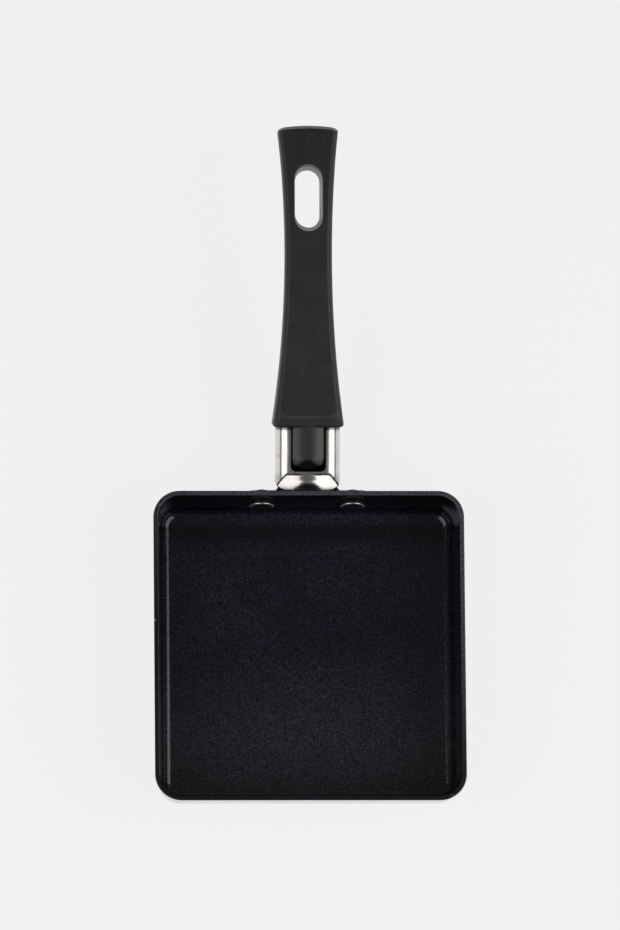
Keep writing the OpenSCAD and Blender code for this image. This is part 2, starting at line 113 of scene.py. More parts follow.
# The grip, whose lengths start at the guard's far end
BASE_AT = 32.9 * MM
BASE_Y = AXIS_Y + BASE_AT
GRIP_L = 134.58 * MM
BEND_FROM = 30 * MM
BEND = math.radians(13.5)
BEND_R = (GRIP_L - BEND_FROM) / BEND
WAIST_AT = 77.4 * MM
GRIP_WIDTHS = (32.4 * MM, 21.2 * MM, 27.4 * MM)
TOP_HEIGHTS = (11 * MM, 7.6 * MM, 7.4 * MM)
UNDER_DEPTHS = (10.8 * MM, 7.6 * MM, 8.2 * MM)
BEVEL_W = 2.3 * MM
BEVEL_H = 3.4 * MM
BEVEL_BREAK = math.radians(24)
LOWER_R = 6.6 * MM
LOWER_SPLIT = math.radians(50)
CREASE = 0.25 * MM
CREASE_OUT = 0.6 * CREASE
CREASE_DOWN = 0.35 * CREASE
LIP_L = 5 * MM
LIP_SLOPE = 0.22
PANEL_CORNER_R = 4.2 * MM
BEVEL_LEAD_FROM = 0.3 * LIP_L
BEVEL_LEAD_L = 0.7 * LIP_L + PANEL_CORNER_R
BASE_EDGE_R = 1.6 * MM
BASE_EDGE_ON_TOP = 0.7
END_EDGE_R = 1.0 * MM
END_CHAMFER_L = 1.3 * MM
END_CHAMFER_H = 1.1 * MM
END_BULGE = 1.2 * MM
HANG_AT = 103 * MM
HANG_L = 28 * MM
HANG_W = 12.4 * MM
HANG_DRAFT = math.tan(math.radians(2.5))
HANG_EDGE_R = 0.5 * MM
HANG_MARGIN = 2.4 * MM
HANG_REACH = (HANG_L - HANG_W) / 2
PATCH_EASE = 1.5
END_Y = 233.3 * MM

# The guard and the tongue
GUARD_W = 29 * MM
GUARD_H = 19 * MM
GUARD_T = 0.8 * MM
GUARD_START = 4.6 * MM
GUARD_CORNER_R = 6.5 * MM
GUARD_FRONT_R = 3.6 * MM
PRESS_END = 12.4 * MM
PRESS_BACK_R = 1.4 * MM
PRESS_BACK_H = 4 * MM
PRESS_BACK_HALF = 9.5 * MM
PRESS_TAPER_L = 6 * MM
PRESS_TAPER_POWER = 1.3
PRESS_ABOVE = 9.5 * MM
PRESS_SLOPE = math.tan(math.radians(27))
PRESS_RIDGE_R = 5.5 * MM
PRESS_EDGE_R = 0.9 * MM
PRESS_CLEAR = 0.6 * MM
LIP_DIP = 1.6 * MM
LIP_DIP_FROM = 9.4 * MM
LIP_DIP_W = 4.5 * MM
TONGUE_W = 15.3 * MM
TONGUE_GAP = 0.3 * MM
TONGUE_FRONT = 13.3 * MM
TONGUE_CROWN_R = 15 * MM
TONGUE_TOP = 9.8 * MM
TONGUE_FOOT = 6 * MM
TONGUE_LOW = 4 * MM
TONGUE_ROOT = 2 * MM
TONGUE_EDGE_R = 0.6 * MM
NOSE_L = 7 * MM
NOSE_DROP = 2.4 * MM
NOSE_CORNER_R = 2.2 * MM
SPIGOT_GAP = 0.2 * MM
SPIGOT_ROOT = 1 * MM
NOTCH_FROM = 5 * MM
NOTCH_TO = 14 * MM

# Mesh steps round a section, and along the piece
STRIP = 64
BEVEL_STEPS = 9
SIDE_STEPS = 2
LOWER_STEPS = 7
SIDE_COUNT = BEVEL_STEPS + SIDE_STEPS + LOWER_STEPS
UNDER_START = STRIP + 1 + SIDE_COUNT
EDGE_STEPS = 6
LIP_STEPS = 30
MIDDLE_STEPS = 46
HOLE_STEPS = 36
HOLE_EDGE_STEPS = 5
HOLE_WALL_STEPS = 6
PATCH_STEPS = 5
BACK_STEPS = 10
CHAMFER_STEPS = 2
CORNER_STEPS = 12
NOSE_STEPS = 14
TONGUE_STEPS = 16
ARCH_STEPS = 40
RIVET_TURN_STEPS = 72
RIVET_FACE_STEPS = 8
GUARD_TOP_STEPS = 80
GUARD_CORNER_STEPS = 44
GUARD_FRONT_STEPS = 24
PRESS_STEPS = 40
SLEEVE_STEPS = 24
SLEEVE_SIDE_STEPS = 3
NOTCH_STEPS = 10

# Where the finishes change, painted light and shade among them: on the pan's floor from rear to
# front, on its wall and rim
# Painted light: the floor grows paler and greyer towards the front
FRONT_LIGHT_FADE = (10 * MM, -52 * MM)
# Painted reflection of the rear wall: a dark band on the floor near it
REFLECTION_BAND_FRONT = (48 * MM, 56 * MM)
REFLECTION_BAND_REAR = (61 * MM, 58 * MM)
# Above this height the coating is painted darker as the walls' shade
COVE_FADE = (3.5 * MM, 7 * MM)
RIM_FADE = (PAN_H - 0.8 * MM, PAN_H - 0.1 * MM)
# Painted light: the rim grows paler towards the right rear
RIM_LIGHT_FADE = (-60 * MM, 110 * MM)

# The same on the rivet, the guard and the grip, with painted light and shade among them
WORN_FADE = (RIVET_HEAD_R - 0.6 * MM, RIVET_HEAD_R - 0.45 * MM)
WORN_RISE = (RIVET_EDGE_FROM + 0.2 * MM, RIVET_EDGE_FROM + 0.4 * MM)
SLEEVE_FADE = (AXIS_Y + PRESS_END - 2 * MM, AXIS_Y + PRESS_END + 1 * MM)
# Painted shade on the guard where it runs under the grip
JOINT_SHADE_FADE = (BASE_Y - 1.8 * MM, BASE_Y - 0.5 * MM)
TONGUE_FADE = (BASE_Y, BASE_Y - 0.5 * MM)
NOSE_FADE = (AXIS_Y + TONGUE_FRONT + 6.5 * MM, AXIS_Y + TONGUE_FRONT + 4 * MM)
# Where the painted shade on the grip's lip lies
LIP_SHADE_FADE = (BASE_Y + LIP_L - 0.2 * MM, BASE_Y + LIP_L - 1.5 * MM)
# Where the painted reflection on the hang hole's wall lies
SLOT_FADE = (HANG_W / 2 + 0.35 * MM, HANG_W / 2 + 0.05 * MM)
SLOT_BACK = 0.6 * MM
# Where the painted highlight on the grip's end lies
END_HIGHLIGHT_FADE = (END_Y - 2 * MM, END_Y - 1.5 * MM)
END_BOW = 6.4
# Where the painted highlight on the grip's U-shaped crease lies
CREASE_NARROWS = 0.139
CREASE_INNER = (-0.35 * MM, 0)
CREASE_OUTER = (0.6 * MM, 0.15 * MM)

# Colours, linear; some of them stand for painted light and shade
COAT_BLUE = (0.017, 0.0205, 0.037)
COAT_PATCH = (0.033, 0.038, 0.061)
# Painted light on the floor's front, for its pale grains
COAT_FRONT_LIT = (0.06, 0.061, 0.078)
# Painted reflection of the rear wall on the floor
COAT_REFLECTION_BAND = (0.003, 0.0035, 0.006)
COAT_DARK = (0.0005, 0.0006, 0.0012)
# Painted light on the floor's front, for its dark grains
COAT_DARK_FRONT_LIT = (0.007, 0.007, 0.009)
COAT_FLECK = (0.07, 0.075, 0.09)
# Painted shade of the walls
COAT_WALL_SHADE = (0.0009, 0.001, 0.0018)
COAT_SHEEN = (0.8, 0.86, 1)
RIM_DARK = (0.002, 0.0025, 0.004)
# The rim's rubbed pale colour, reached mostly at the right rear where painted light falls
RIM_RUBBED_AND_LIT = (0.085, 0.09, 0.11)
RIM_CHIP = (0.3, 0.3, 0.31)
RIVET_DARK = (0.003, 0.0027, 0.0045)
RIVET_PALE = (0.017, 0.015, 0.018)
RIVET_WORN = (0.6, 0.59, 0.575)
BRACKET_DARK = (0.009, 0.009, 0.01)
BRACKET_PALE = (0.02, 0.02, 0.021)
STEEL = (0.8, 0.77, 0.73)
STEEL_BLOOM = (0.62, 0.55, 0.48)
STEEL_STREAK = (0.5, 0.455, 0.41)
STEEL_SMUDGE = (0.36, 0.31, 0.27)
STEEL_PRESSED = (0.5, 0.485, 0.47)
# Painted shade on the guard next to the grip
STEEL_JOINT_SHADE = (0.06, 0.05, 0.045)
GRIP_DARK = (0.015, 0.0147, 0.0158)
GRIP_PALE = (0.0215, 0.021, 0.0225)
GRIP_SPECK = (0.05, 0.049, 0.051)
# Painted highlight on the grip's U-shaped crease
GRIP_CREASE_HIGHLIGHT = (0.075, 0.073, 0.077)
# Painted shade on the grip's lip
GRIP_LIP_SHADE = (0.004, 0.004, 0.0045)
# Painted sheen on the tongue
GRIP_TONGUE_SHEEN = (0.033, 0.031, 0.034)
# Painted shade on the tongue's nose
GRIP_NOSE_SHADE = (0.0025, 0.002, 0.003)
# Painted reflection on the hang hole's wall
SLOT_WALL_REFLECTION = (0.28, 0.29, 0.305)
# Painted highlight on the grip's end
GRIP_END_HIGHLIGHT = (0.34, 0.305, 0.285)
ZINC = (0.6, 0.6, 0.6)
WASHER_ZINC = (0.62, 0.62, 0.6)
SPRING_STEEL = (0.3, 0.3, 0.31)

# Finish of the coating: grains and flecks are counted a metre, relief is in metres
COAT_GRAINS = (2700, 3900)
COAT_GRAIN_FADE = (0.06, 0.6)
COAT_FLECKS = 1900
COAT_FLECK_FADE = (0.98, 1)
COAT_FLECK_SHARE = 0.4
# Share of the painted reflection of the rear wall
COAT_REFLECTION_BAND_SHARE = 0.8
COAT_SPECULAR = 0.12
COAT_ROUGH = (0.13, 0.19)
COAT_RELIEF = 0.01 * MM
CLEAR_COAT = 0.8
CLEAR_COAT_ROUGH = 0.07
CLEAR_COAT_RELIEF = 0.05 * MM
# Painted light along the rim: its slant towards the rear and its least share
RIM_LIGHT_SLANT = 1.5
RIM_LIGHT_LEAST = 0.1

# Finish of the rivets and the bracket
RIVET_SPECULAR = 0.12
RIVET_ROUGH = 0.45
RIVET_WORN_ROUGH = 0.3
RIVET_RELIEF = 0.015 * MM
BRACKET_ROUGH = (0.33, 0.48)
BRACKET_RELIEF = 0.02 * MM

# Finish of the guard: its streaks are counted a metre, across, along and through the neck
STEEL_STREAKS = (2600, 60, 2600)
STEEL_STREAK_FADE = (0.35, 0.7)
STEEL_STREAK_SHARE = 0.3
STEEL_PRESSED_LEAST = 0.25
# Share of the painted shade next to the grip
STEEL_JOINT_SHADE_SHARE = 0.85
STEEL_ROUGH = (0.17, 0.28)
STEEL_PRESSED_ROUGH = 0.27
STEEL_RELIEF = 0.004 * MM

# Finish of the grip and the fasteners
# Share of the painted highlight on the crease
GRIP_CREASE_HIGHLIGHT_SHARE = 0.5
# Share of the painted shade on the lip
GRIP_LIP_SHADE_SHARE = 0.5
GRIP_SPECULAR = 0.5
NOSE_SPECULAR = 0.3
GRIP_ROUGH = (0.42, 0.52)
TONGUE_ROUGH = 0.34
NOSE_ROUGH = 0.17
GRIP_RELIEF = 0.015 * MM
ZINC_SHADE = 0.6
ZINC_ROUGH = (0.25, 0.42)
ZINC_RELIEF = 0.01 * MM

# Between these limits soft noise goes from one patch to the next
PATCH_FADE = (0.3, 0.7)

# Points closer than this are welded into one
WELD = 1e-7

# The colour sockets and the number sockets of a mix node
MIX_COLOURS = (6, 7, 2)
MIX_NUMBERS = (2, 3, 0)

# Faces that meet at more than this many degrees keep a sharp edge
SHARP_DEG = 40
GRIP_SHARP_DEG = 42
RIVET_SHARP_DEG = 50


def spread(start, end, count):
    """Even steps from start to end, both included."""
    return [start + (end - start) * i / count for i in range(count + 1)]


def smooth(t):
    """An even curve from 0 to 1 while t goes from 0 to 1."""
    t = min(1.0, max(0.0, t))
    return t * t * (3 - 2 * t)


def drawn_in(d, r):
    """How far a rounding of radius r draws the surface in at a distance d from its edge."""
    if d >= r:
        return 0.0
    return r - math.sqrt(max(0.0, r * r - (r - d) ** 2))


def neck_point(x, s, w):
    """A point x across, s along and w above the neck's centre line."""
    return Vector((
        x,
        AXIS_Y + s * math.cos(RISE) - w * math.sin(RISE),
        AXIS_Z + s * math.sin(RISE) + w * math.cos(RISE),
    ))


def grip_point(x, s, w):
    """The same for the grip, where s starts at the guard and the centre line bends."""
    turn = max(0.0, s - BEND_FROM) / BEND_R
    along = min(s, BEND_FROM) + BEND_R * math.sin(turn) + w * math.sin(turn)
    above = BEND_R * (math.cos(turn) - 1) + w * math.cos(turn)
    return neck_point(x, BASE_AT + along, above)


class Shell:
    """Collects points and faces, and makes a mesh object of them."""

    def __init__(self):
        self.points = []
        self.faces = []

    def point(self, p):
        """Adds a point and returns its index."""
        self.points.append(tuple(p))
        return len(self.points) - 1

    def row(self, points):
        """Adds points and returns their indices."""
        return [self.point(p) for p in points]

    def skin(self, rows, closed=False):
        """Quads between each row of points and the next."""
        for a, b in zip(rows, rows[1:]):
            for j in range(len(a) if closed else len(a) - 1):
                k = (j + 1) % len(a)
                self.faces.append((a[j], a[k], b[k], b[j]))

    def loft(self, rows):
        """A closed skin with a face at each end."""
        self.skin(rows, closed=True)
        self.faces.append(tuple(rows[0]))
        self.faces.append(tuple(rows[-1]))

    def make(self, name, sharp_deg=SHARP_DEG):
        """Builds the object, without loose points and with its faces turned outward."""
        mesh = bpy.data.meshes.new(name)
        mesh.from_pydata(self.points, [], self.faces)
        work = bmesh.new()
        work.from_mesh(mesh)
        loose = [v for v in work.verts if not v.link_faces]
        bmesh.ops.delete(work, geom=loose, context="VERTS")
        bmesh.ops.remove_doubles(work, verts=work.verts, dist=WELD)
        bmesh.ops.recalc_face_normals(work, faces=work.faces)
        work.to_mesh(mesh)
        work.free()
        piece = bpy.data.objects.new(name, mesh)
        bpy.context.scene.collection.objects.link(piece)
        shade(piece, sharp_deg)
        return piece


def shade(piece, sharp_deg):
    """Smooth shading, but for the sharp edges."""
    for polygon in piece.data.polygons:
        polygon.use_smooth = True
    piece.data.set_sharp_from_angle(angle=math.radians(sharp_deg))


def apply_modifiers(piece):
    """Replaces the piece's mesh by the one that its modifiers make."""
    graph = bpy.context.evaluated_depsgraph_get()
    mesh = bpy.data.meshes.new_from_object(piece.evaluated_get(graph))
    piece.modifiers.clear()
    piece.data = mesh


def flared(s, sizes):
    """A size that falls from the base to the waist and grows again to the end."""
    base, waist, end = sizes
    if s < WAIST_AT:
        return waist + (base - waist) * (1 - s / WAIST_AT) ** 2
    return waist + (end - waist) * ((s - WAIST_AT) / (GRIP_L - WAIST_AT)) ** 2


def grip_inset(s):
    """How far the rounded edges of both ends draw the section in."""
    return drawn_in(s, BASE_EDGE_R) + drawn_in(GRIP_L - s, END_EDGE_R)


def grip_half(s):
    """Half the grip's width."""
    return flared(s, GRIP_WIDTHS) / 2 - grip_inset(s)


def outside_panel(x, s):
    """Distance of a point in front of the panel's U-shaped front line, 0 inside it."""
    panel = flared(s, GRIP_WIDTHS) / 2 - BEVEL_W
    from_corner_x = abs(x) - (panel - PANEL_CORNER_R)
    from_corner_s = LIP_L + PANEL_CORNER_R - s
    if from_corner_s <= 0:
        return 0.0
    if from_corner_x <= 0:
        return max(0.0, LIP_L - s)
    return max(0.0, math.hypot(from_corner_x, from_corner_s) - PANEL_CORNER_R)


def grip_top(x, s):
    """Height of the top panel, with its lip at the base and its chamfer at the end."""
    outside = outside_panel(x, s)
    lip = LIP_SLOPE * outside * outside / (outside + CREASE)
    to_end = max(0.0, END_CHAMFER_L - (GRIP_L - s))
    chamfer = END_CHAMFER_H * to_end / END_CHAMFER_L
    return flared(s, TOP_HEIGHTS) - lip - chamfer - drawn_in(s, BASE_EDGE_R) * BASE_EDGE_ON_TOP


def grip_foot(s):
    """Height of the underside's lowest line."""
    return grip_inset(s) - flared(s, UNDER_DEPTHS)


def grip_under(x, s):
    """Height of the underside, which rounds up towards both sides."""
    past = max(0.0, abs(x) - (grip_half(s) - LOWER_R))
    return grip_foot(s) + LOWER_R - math.sqrt(max(0.0, LOWER_R ** 2 - past ** 2))


def top_strip_half(s):
    """Half the width of the strip of quads that makes the top panel."""
    return grip_half(s) - BEVEL_W - CREASE


def under_strip_half(s):
    """Half the width of the strip of quads that makes the underside."""
    return grip_half(s) - LOWER_R * (1 - math.cos(LOWER_SPLIT))


def grip_side(s):
    """Points from the panel's edge down the right side to where the underside's strip starts."""
    half = grip_half(s)
    panel = half - BEVEL_W
    top = grip_top(panel, s)
    start = BEVEL_BREAK * smooth((s - BEVEL_LEAD_FROM) / BEVEL_LEAD_L)
    points = [(panel + CREASE_OUT, top - CREASE_DOWN)]
    for a in spread(start, math.pi / 2, BEVEL_STEPS)[1:]:
        across = (math.sin(a) - math.sin(start)) / (1 - math.sin(start))
        down = (math.cos(start) - math.cos(a)) / math.cos(start)
        points.append((panel + BEVEL_W * across, top - BEVEL_H * down))
    foot = grip_foot(s) + LOWER_R
    points += [(half, w) for w in spread(top - BEVEL_H, foot, SIDE_STEPS)[1:]]
    for a in spread(0, LOWER_SPLIT, LOWER_STEPS)[1:-1]:
        points.append((half - LOWER_R * (1 - math.cos(a)), foot - LOWER_R * math.sin(a)))
    return points


def grip_section(s):
    """The closed section as (x, w) points: top strip, right side, underside's strip, left side."""
    edge = top_strip_half(s)
    strip = under_strip_half(s)
    top = [(x, grip_top(x, s)) for x in spread(-edge, edge, STRIP)]
    under = [(x, grip_under(x, s)) for x in spread(strip, -strip, STRIP)]
    side = grip_side(s)
    return top + side + under + [(-x, w) for x, w in reversed(side)]


def grip_surface(x, s, w):
    """A point of the grip's surface, its end bulged in plan."""
    start = HANG_AT + HANG_L / 2
    late = max(0.0, s - start) / (GRIP_L - start)
    aside = 2 * x / GRIP_WIDTHS[2]
    return grip_point(x, s - END_BULGE * late * aside ** 2, w)


def grip_stations():
    """Rings close together where the surface turns: both ends and around the hang hole."""
    hole_start = HANG_AT - HANG_L / 2 - HANG_MARGIN
    hole_end = HANG_AT + HANG_L / 2 + HANG_MARGIN
    quarter = spread(0, math.pi / 2, EDGE_STEPS)
    base = [BASE_EDGE_R * (1 - math.cos(a)) for a in quarter]
    lip = spread(BASE_EDGE_R, LIP_L + PANEL_CORNER_R, LIP_STEPS)[1:]
    middle = spread(lip[-1], hole_start, MIDDLE_STEPS)[1:]
    hole = spread(hole_start, hole_end, HOLE_STEPS)[1:]
    back = spread(hole_end, GRIP_L - END_CHAMFER_L - CREASE, BACK_STEPS)[1:]
    chamfer = spread(GRIP_L - END_CHAMFER_L + CREASE, GRIP_L - END_EDGE_R, CHAMFER_STEPS)
    end = [GRIP_L - END_EDGE_R * (1 - math.sin(a)) for a in quarter][1:]
    first = len(base) + len(lip) + len(middle) - 1
    return base + lip + middle + hole + back + chamfer + end, first, first + len(hole)


def toward_slot(x, s, radius):
    """The point at a distance from the hang hole's middle line, on the way to (x, s)."""
    middle = min(max(s, HANG_AT - HANG_REACH), HANG_AT + HANG_REACH)
    away = Vector((x, s - middle)).normalized()
    return away.x * radius, middle + away.y * radius


def slot_border(rings, stations, first, last, half_at, column):
    """Border of a strip's opening as (index, x, s), once round."""
    border = []

    def add(i, j):
        """Adds the strip's point j of ring i."""
        x = half_at(stations[i]) * (2 * j / STRIP - 1)
        border.append((rings[i][column(j)], x, stations[i]))

    for j in range(STRIP + 1):
        add(first, j)
    for i in range(first + 1, last + 1):
        add(i, STRIP)
    for j in range(STRIP - 1, -1, -1):
        add(last, j)
    for i in range(last - 1, first, -1):
        add(i, 0)
    return border


def hang_hole(shell, top_edge, under_edge):
    """Closes the gap between the two strips: rounded lips and a drafted wall."""
    lip = HANG_EDGE_R
    depth = flared(HANG_AT, TOP_HEIGHTS) + flared(HANG_AT, UNDER_DEPTHS)
    top_r = HANG_W / 2
    foot_r = top_r - depth * HANG_DRAFT
    rings = [[i for i, x, s in top_edge]]

    def add_ring(edge, radius, height, share=1.0):
        """A ring of points, a share of the way from the strip's opening to the slot."""
        ring = []
        for _, x, s in edge:
            slot_x, slot_s = toward_slot(x, s, radius)
            at_x = x + (slot_x - x) * share
            at_s = s + (slot_s - s) * share
            ring.append(shell.point(grip_surface(at_x, at_s, height(at_x, at_s))))
        rings.append(ring)

    for t in spread(0, 1, PATCH_STEPS)[1:]:
        add_ring(top_edge, top_r + lip, grip_top, 1 - (1 - t) ** PATCH_EASE)
    for a in spread(0, math.pi / 2, HOLE_EDGE_STEPS)[1:]:
        drop = lip * (1 - math.cos(a))
        add_ring(top_edge, top_r + lip - lip * math.sin(a), lambda x, s: grip_top(x, s) - drop)
    for t in spread(0, 1, HOLE_WALL_STEPS)[1:-1]:
        add_ring(
            top_edge,
            top_r + (foot_r - top_r) * t,
            lambda x, s: (grip_top(x, s) - lip) * (1 - t) + (grip_under(x, s) + lip) * t,
        )
    for a in spread(math.pi / 2, 0, HOLE_EDGE_STEPS):
        rise = lip * (1 - math.cos(a))
        add_ring(under_edge, foot_r + lip - lip * math.sin(a), lambda x, s: grip_under(x, s) + rise)
    for t in spread(0, 1, PATCH_STEPS)[1:-1]:
        add_ring(under_edge, foot_r + lip, grip_under, 1 - t)
    rings.append([i for i, x, s in under_edge])
    shell.skin(rings, closed=True)


def end_cap(shell, ring, s):
    """The grip's end face, as rows of quads from the top strip down to the underside's strip."""
    section = grip_section(s)
    rows = [ring[:STRIP + 1]]
    for i in range(SIDE_COUNT):
        right = STRIP + 1 + i
        half, height = section[right]
        inner = shell.row(grip_surface(x, s, height) for x in spread(-half, half, STRIP)[1:-1])
        rows.append([ring[-1 - i]] + inner + [ring[right]])
    rows.append(list(reversed(ring[UNDER_START:UNDER_START + STRIP + 1])))
    shell.skin(rows)


def tongue(shell):
    """The crowned tongue in the guard's notch, turned down at its nose."""
    length = BASE_AT + TONGUE_ROOT - TONGUE_FRONT
    edge = TONGUE_EDGE_R
    turn_r = (NOSE_L ** 2 + NOSE_DROP ** 2) / (2 * NOSE_DROP)
    stations = [NOSE_CORNER_R * (1 - math.cos(a)) for a in spread(0, math.pi / 2, CORNER_STEPS)]
    stations += spread(NOSE_CORNER_R, NOSE_L, NOSE_STEPS)[1:]
    stations += spread(NOSE_L, length, TONGUE_STEPS)[1:]
    rows = []
    for s in stations:
        half = TONGUE_W / 2 - drawn_in(s, NOSE_CORNER_R)
        nose = max(0.0, NOSE_L - s)
        top = TONGUE_TOP - (turn_r - math.sqrt(turn_r ** 2 - nose ** 2)) - drawn_in(s, edge)
        right = [(half - edge + edge * math.sin(a), edge * (1 - math.cos(a)))
                 for a in spread(0, math.pi / 2, EDGE_STEPS)[1:]]
        arch = [(-x, down) for x, down in reversed(right)]
        arch += [(x, 0.0) for x in spread(edge - half, half - edge, ARCH_STEPS)]
        arch += right
        points = [neck_point(x, TONGUE_FRONT + s, top - x * x / (2 * TONGUE_CROWN_R) - down)
                  for x, down in arch]
        points += [neck_point(x, TONGUE_FRONT + s, TONGUE_LOW) for x in (half, -half)]
        rows.append(shell.row(points))
    shell.loft(rows)


def rounded_outline(half_w, half_h, radius, steps):
    """A rounded rectangle, clockwise from the right end of its top edge."""
    points = []
    corners = ((1, 1, 90), (1, -1, 0), (-1, -1, -90), (-1, 1, 180))
    for side_x, side_y, start in corners:
        for turn in spread(start, start - 90, steps):
            a = math.radians(turn)
            points.append((
                side_x * (half_w - radius) + radius * math.cos(a),
                side_y * (half_h - radius) + radius * math.sin(a),
            ))
    return points


def spigot(shell):
    """The moulding's closed end inside the guard, seen only through the guard's front."""
    inset = GUARD_T + SPIGOT_GAP
    outline = rounded_outline(
        GUARD_W / 2 - inset, GUARD_H / 2 - inset, GUARD_CORNER_R - inset, EDGE_STEPS)
    rows = [shell.row(neck_point(x, s, min(w, TONGUE_FOOT)) for x, w in outline)
            for s in (TONGUE_FRONT, BASE_AT + SPIGOT_ROOT)]
    shell.loft(rows)


def make_grip():
    """Moulded grip: a loft with its hang hole, its tongue and its spigot."""
    shell = Shell()
    stations, first, last = grip_stations()
    rings = [shell.row(grip_surface(x, s, w) for x, w in grip_section(s)) for s in stations]
    count = len(rings[0])
    for i in range(len(rings) - 1):
        for j in range(count):
            in_strip = j < STRIP or UNDER_START <= j < UNDER_START + STRIP
            if first <= i < last and in_strip:
                continue
            k = (j + 1) % count
            shell.faces.append((rings[i][j], rings[i][k], rings[i + 1][k], rings[i + 1][j]))
    top_edge = slot_border(rings, stations, first, last, top_strip_half, lambda j: j)
    under_edge = slot_border(
        rings, stations, first, last, under_strip_half, lambda j: UNDER_START + STRIP - j)
    hang_hole(shell, top_edge, under_edge)
    shell.faces.append(tuple(rings[0]))
    end_cap(shell, rings[-1], stations[-1])
    tongue(shell)
    spigot(shell)
    return shell.make("grip_moulding", GRIP_SHARP_DEG)


def rivet_profile():
    """The rivet's outline as (radius, height), from its closed end to its domed head."""
    low = -WING_T - RIVET_TAIL_H
    outline = [
        (0.0, low),
        (RIVET_TAIL_R - RIVET_TAIL_BEVEL, low),
        (RIVET_TAIL_R - RIVET_TAIL_BREAK, low + RIVET_TAIL_BREAK),
        (RIVET_TAIL_R, low + RIVET_TAIL_BEVEL),
        (RIVET_TAIL_R, -WING_T),
        (RIVET_SHANK_R, -WING_T),
        (RIVET_SHANK_R, WALL_T),
        (RIVET_HEAD_R - RIVET_UNDERCUT, WALL_T),
    ]
    face_r = RIVET_HEAD_R - RIVET_EDGE_R
    for a in spread(0, math.pi / 2, CORNER_STEPS):
        outline.append((
            face_r + RIVET_EDGE_R * math.cos(a),
            RIVET_EDGE_FROM + RIVET_EDGE_R * math.sin(a),
        ))
    for r in spread(face_r, 0, RIVET_FACE_STEPS)[1:]:
        outline.append((r, WALL_T + RIVET_HEAD_H - RIVET_CROWN * (r / face_r) ** 2))
    return outline


def make_rivet(side):
    """A rivet turned round its axis, which stands square to the lean rear wall."""
    shell = Shell()
    up = Vector((0, math.sin(WALL_DRAFT), math.cos(WALL_DRAFT)))
    out = Vector((0, -math.cos(WALL_DRAFT), math.sin(WALL_DRAFT)))
    foot = Vector((side * RIVET_X, AXIS_Y, AXIS_Z))
    rows = []
    for a in spread(0, 2 * math.pi, RIVET_TURN_STEPS)[:-1]:
        away = Vector((math.sin(a), 0, 0)) + up * math.cos(a)
        rows.append(shell.row(foot + away * r + out * h for r, h in rivet_profile()))
    shell.skin(rows + [rows[0]])
    return shell.make("rivet_piece_right" if side > 0 else "rivet_piece_left", RIVET_SHARP_DEG)


def pressed_top(x, s):
    """Height of the pressed front: it falls to both sides, and its middle dips at the lip."""
    aside = max(0.0, abs(x) - PRESS_BACK_HALF) / (GUARD_W / 2 - PRESS_BACK_HALF)
    end = PRESS_END - PRESS_TAPER_L * aside ** PRESS_TAPER_POWER
    back = max(0.0, s - end + PRESS_BACK_R) / PRESS_BACK_R
    rise = 1 - math.sqrt(max(0.0, 1 - back ** 2)) if back < 1 else back
    fall = PRESS_SLOPE * (math.hypot(x, PRESS_RIDGE_R) - PRESS_RIDGE_R)
    dip = LIP_DIP * smooth((LIP_DIP_FROM - s) / (LIP_DIP_FROM - GUARD_START))
    return PRESS_ABOVE + rise * PRESS_BACK_H - fall - dip * math.exp(-(x / LIP_DIP_W) ** 2)


def soft_min(a, b, r):
    """The lower of two heights, rounded where they meet."""
    h = max(0.0, r - abs(a - b)) / r
    return min(a, b) - h * h * r / 4


def guard_section(s):
    """The sleeve's section as (x, w) points, with the front pressed into its top."""
    half = GUARD_W / 2 - drawn_in(s - GUARD_START, GUARD_FRONT_R)
    corner_x = half - GUARD_CORNER_R
    corner_w = GUARD_H / 2 - GUARD_CORNER_R
    right = [(corner_x + GUARD_CORNER_R * math.sin(a), corner_w + GUARD_CORNER_R * math.cos(a))
             for a in spread(0, math.pi / 2, GUARD_CORNER_STEPS)[1:]]
    top = [(-x, w) for x, w in reversed(right)]
    top += [(x, GUARD_H / 2) for x in spread(-corner_x, corner_x, GUARD_TOP_STEPS)]
    top += right
    top = [(x, soft_min(w, pressed_top(x, s), PRESS_EDGE_R)) for x, w in top]
    lower = [(half, w) for w in spread(corner_w, -corner_w, SLEEVE_SIDE_STEPS)[1:]]
    lower += [(corner_x + GUARD_CORNER_R * math.cos(a), -corner_w - GUARD_CORNER_R * math.sin(a))
              for a in spread(0, math.pi / 2, CORNER_STEPS)[1:]]
    return top + lower + [(-x, w) for x, w in reversed(lower)]


def notch_cutter():
    """The tongue's plan with its gap, as a prism through the guard's top."""
    shell = Shell()
    half = TONGUE_W / 2 + TONGUE_GAP
    front = TONGUE_FRONT - TONGUE_GAP
    radius = NOSE_CORNER_R + TONGUE_GAP
    outline = [(half, BASE_AT + TONGUE_ROOT), (-half, BASE_AT + TONGUE_ROOT)]
    for side, start in ((-1, math.pi), (1, math.pi * 1.5)):
        for a in spread(start, start + math.pi / 2, NOTCH_STEPS):
            outline.append((
                side * (half - radius) + radius * math.cos(a),
                front + radius + radius * math.sin(a),
            ))
    shell.loft([shell.row(neck_point(x, s, w) for x, s in outline)
                for w in (NOTCH_FROM, NOTCH_TO)])
    return shell.make("notch_cutter")


